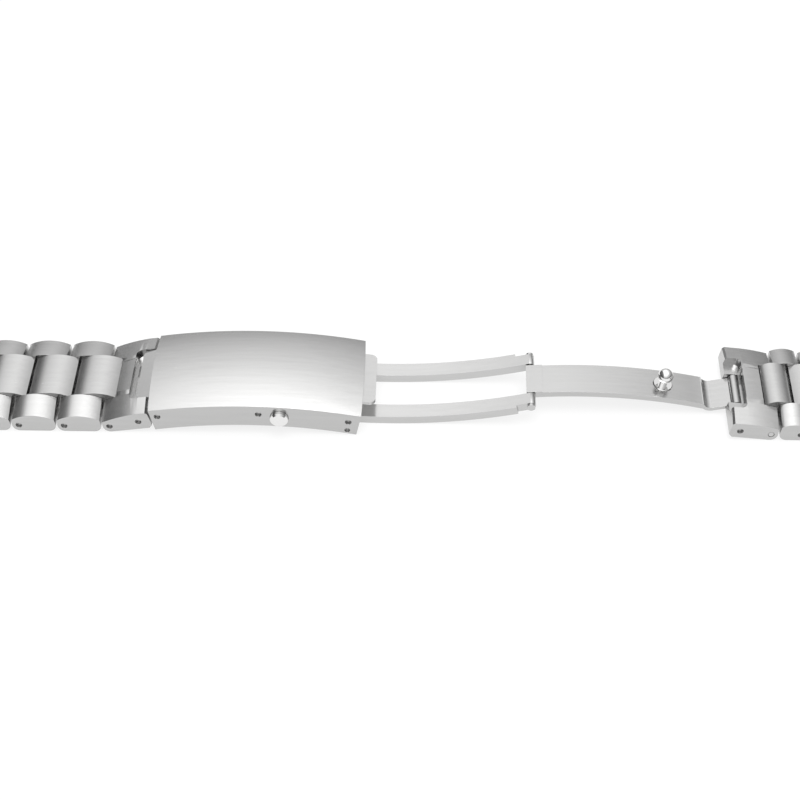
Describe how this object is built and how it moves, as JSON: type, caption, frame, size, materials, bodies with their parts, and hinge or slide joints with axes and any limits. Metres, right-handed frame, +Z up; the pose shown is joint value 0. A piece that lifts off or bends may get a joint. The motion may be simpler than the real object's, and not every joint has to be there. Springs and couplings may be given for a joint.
{
  "type": "watch bracelet with folding clasp",
  "caption": "Three-row brushed steel watch bracelet with domed links and a curved push-button clasp, shown open: fork, arched blade with locking stud, fold-out extension.",
  "frame": {"origin": "centre of the footprint, on the surface the bracelet lies on", "axes": "+X along the open bracelet towards the blade side of the clasp, +Y across it away from the near side, +Z up, from the wrist side to the outer side"},
  "size_m": [0.2274, 0.0218, 0.0083],
  "materials": {
    "brushed": "satin, grain along the bracelet",
    "plate": "satin sheet",
    "polished": "polished",
    "pin": "ground",
    "spring": "drawn wire"
  },
  "bodies": {
    "clasp": {"clasp_cover": "brushed", "latch_plate": "plate", "cover_pins": "pin", "button_spring_near": "spring", "button_spring_far": "spring"},
    "fork": {"fork": "brushed", "blade_hinge_pin": "pin"},
    "blade": {"blade": "brushed", "locking_stud": "polished"},
    "end_piece": {"end_piece": "brushed", "end_piece_pins": "pin"},
    "short_link": {"short_link": "brushed", "short_link_pin": "pin"},
    "button_near": {"push_button_near": "polished", "catch_plate_near": "plate"},
    "button_far": {"push_button_far": "polished", "catch_plate_far": "plate"},
    "extension_plate": {"extension_plate": "plate", "extension_plate_pins": "polished"},
    "extension_arm": {"extension_arm": "plate"},
    "connecting_link": {"connecting_link": "brushed", "connecting_link_pins": "pin"},
    "blade_link_1": {"blade_link_1_side_blocks": "brushed", "blade_link_1_centre": "brushed", "blade_link_1_pins": "pin"},
    "blade_link_2": {"blade_link_2_side_blocks": "brushed", "blade_link_2_centre": "brushed", "blade_link_2_pins": "pin"},
    "blade_link_3": {"blade_link_3_side_blocks": "brushed", "blade_link_3_centre": "brushed", "blade_link_3_pins": "pin"},
    "blade_link_4": {"blade_link_4_side_blocks": "brushed", "blade_link_4_centre": "brushed", "blade_link_4_pins": "pin"},
    "blade_link_5": {"blade_link_5_side_blocks": "brushed", "blade_link_5_centre": "brushed", "blade_link_5_pins": "pin"},
    "blade_end_link": {"blade_end_link": "brushed", "blade_spring_bar_tube": "pin"},
    "ext_link_1": {"ext_link_1_side_blocks": "brushed", "ext_link_1_centre": "brushed", "ext_link_1_pins": "pin"},
    "ext_link_2": {"ext_link_2_side_blocks": "brushed", "ext_link_2_centre": "brushed", "ext_link_2_pins": "pin"},
    "ext_link_3": {"ext_link_3_side_blocks": "brushed", "ext_link_3_centre": "brushed", "ext_link_3_pins": "pin"},
    "ext_link_4": {"ext_link_4_side_blocks": "brushed", "ext_link_4_centre": "brushed", "ext_link_4_pins": "pin"},
    "ext_link_5": {"ext_link_5_side_blocks": "brushed", "ext_link_5_centre": "brushed", "ext_link_5_pins": "pin"},
    "ext_end_link": {"ext_end_link": "brushed", "ext_spring_bar_tube": "pin"},
    "ext_spring_bar_tip_near": {"ext_spring_bar_tip_near": "pin"},
    "ext_spring_bar_tip_far": {"ext_spring_bar_tip_far": "pin"},
    "blade_spring_bar_tip_near": {"blade_spring_bar_tip_near": "pin"},
    "blade_spring_bar_tip_far": {"blade_spring_bar_tip_far": "pin"}
  },
  "joints": [
    {"name": "clasp_fold", "type": "hinge", "parent": "clasp", "child": "fork", "pos_m": [-0.01948, 0, 0.00116], "axis": [0, 1, 0], "range_deg": [0, 186.63]},
    {"name": "blade_fold", "type": "hinge", "parent": "fork", "child": "blade", "pos_m": [0.01421, 0, 0.00444], "axis": [0, 1, 0], "range_deg": [-190.42, 0]},
    {"name": "end_piece_hinge", "type": "hinge", "parent": "blade", "child": "end_piece", "pos_m": [0.05223, 0, 0.0022], "axis": [0, 1, 0], "range_deg": [-10, 20]},
    {"name": "short_link_hinge", "type": "hinge", "parent": "end_piece", "child": "short_link", "pos_m": [0.05793, 0, 0.0014], "axis": [0, 1, 0], "range_deg": [-4, 36]},
    {"name": "blade_link_1_hinge", "type": "hinge", "parent": "short_link", "child": "blade_link_1", "pos_m": [0.06333, 0, 0.0014], "axis": [0, 1, 0], "range_deg": [-10, 30]},
    {"name": "blade_link_2_hinge", "type": "hinge", "parent": "blade_link_1", "child": "blade_link_2", "pos_m": [0.07173, 0, 0.0014], "axis": [0, 1, 0], "range_deg": [-10, 30]},
    {"name": "blade_link_3_hinge", "type": "hinge", "parent": "blade_link_2", "child": "blade_link_3", "pos_m": [0.08013, 0, 0.0014], "axis": [0, 1, 0], "range_deg": [-10, 30]},
    {"name": "blade_link_4_hinge", "type": "hinge", "parent": "blade_link_3", "child": "blade_link_4", "pos_m": [0.08853, 0, 0.0014], "axis": [0, 1, 0], "range_deg": [-10, 30]},
    {"name": "blade_link_5_hinge", "type": "hinge", "parent": "blade_link_4", "child": "blade_link_5", "pos_m": [0.09693, 0, 0.0014], "axis": [0, 1, 0], "range_deg": [-10, 30]},
    {"name": "blade_end_link_hinge", "type": "hinge", "parent": "blade_link_5", "child": "blade_end_link", "pos_m": [0.10533, 0, 0.0014], "axis": [0, 1, 0], "range_deg": [-10, 30]},
    {"name": "extension_fold", "type": "hinge", "parent": "clasp", "child": "extension_plate", "pos_m": [-0.05423, 0, 0.00407], "axis": [0, 1, 0], "range_deg": [0, 178]},
    {"name": "extension_arm_fold", "type": "hinge", "parent": "extension_plate", "child": "extension_arm", "pos_m": [-0.03732, 0, 0.00484], "axis": [0, 1, 0], "range_deg": [-178, 0]},
    {"name": "connecting_link_hinge", "type": "hinge", "parent": "extension_arm", "child": "connecting_link", "pos_m": [-0.05786, 0, 0.0027], "axis": [0, -1, 0], "range_deg": [-2, 20]},
    {"name": "ext_link_1_hinge", "type": "hinge", "parent": "connecting_link", "child": "ext_link_1", "pos_m": [-0.06333, 0, 0.0014], "axis": [0, -1, 0], "range_deg": [-1, 39]},
    {"name": "ext_link_2_hinge", "type": "hinge", "parent": "ext_link_1", "child": "ext_link_2", "pos_m": [-0.07173, 0, 0.0014], "axis": [0, -1, 0], "range_deg": [-10, 30]},
    {"name": "ext_link_3_hinge", "type": "hinge", "parent": "ext_link_2", "child": "ext_link_3", "pos_m": [-0.08013, 0, 0.0014], "axis": [0, -1, 0], "range_deg": [-10, 30]},
    {"name": "ext_link_4_hinge", "type": "hinge", "parent": "ext_link_3", "child": "ext_link_4", "pos_m": [-0.08853, 0, 0.0014], "axis": [0, -1, 0], "range_deg": [-10, 30]},
    {"name": "ext_link_5_hinge", "type": "hinge", "parent": "ext_link_4", "child": "ext_link_5", "pos_m": [-0.09693, 0, 0.0014], "axis": [0, -1, 0], "range_deg": [-10, 30]},
    {"name": "ext_end_link_hinge", "type": "hinge", "parent": "ext_link_5", "child": "ext_end_link", "pos_m": [-0.10533, 0, 0.0014], "axis": [0, -1, 0], "range_deg": [-10, 30]},
    {"name": "push_button_near_press", "type": "slide", "parent": "clasp", "child": "button_near", "axis": [0, 1, 0], "range_m": [0, 0.0008], "stiffness_N_per_m": 800, "springref_m": -0.002, "deforming": ["button_spring_near"]},
    {"name": "push_button_far_press", "type": "slide", "parent": "clasp", "child": "button_far", "axis": [0, -1, 0], "range_m": [0, 0.0008], "stiffness_N_per_m": 800, "springref_m": -0.002, "deforming": ["button_spring_far"]},
    {"name": "ext_spring_bar_tip_near_press", "type": "slide", "parent": "ext_end_link", "child": "ext_spring_bar_tip_near", "axis": [0, 1, 0], "range_m": [0, 0.0009], "stiffness_N_per_m": 600, "springref_m": -0.002},
    {"name": "ext_spring_bar_tip_far_press", "type": "slide", "parent": "ext_end_link", "child": "ext_spring_bar_tip_far", "axis": [0, -1, 0], "range_m": [0, 0.0009], "stiffness_N_per_m": 600, "springref_m": -0.002},
    {"name": "blade_spring_bar_tip_near_press", "type": "slide", "parent": "blade_end_link", "child": "blade_spring_bar_tip_near", "axis": [0, 1, 0], "range_m": [0, 0.0009], "stiffness_N_per_m": 600, "springref_m": -0.002},
    {"name": "blade_spring_bar_tip_far_press", "type": "slide", "parent": "blade_end_link", "child": "blade_spring_bar_tip_far", "axis": [0, -1, 0], "range_m": [0, 0.0009], "stiffness_N_per_m": 600, "springref_m": -0.002}
  ],
  "couplings": [
    {"joint": "blade_fold", "follows": "clasp_fold", "ratio": -1.0202},
    {"joint": "extension_arm_fold", "follows": "extension_fold", "ratio": -1}
  ]
}
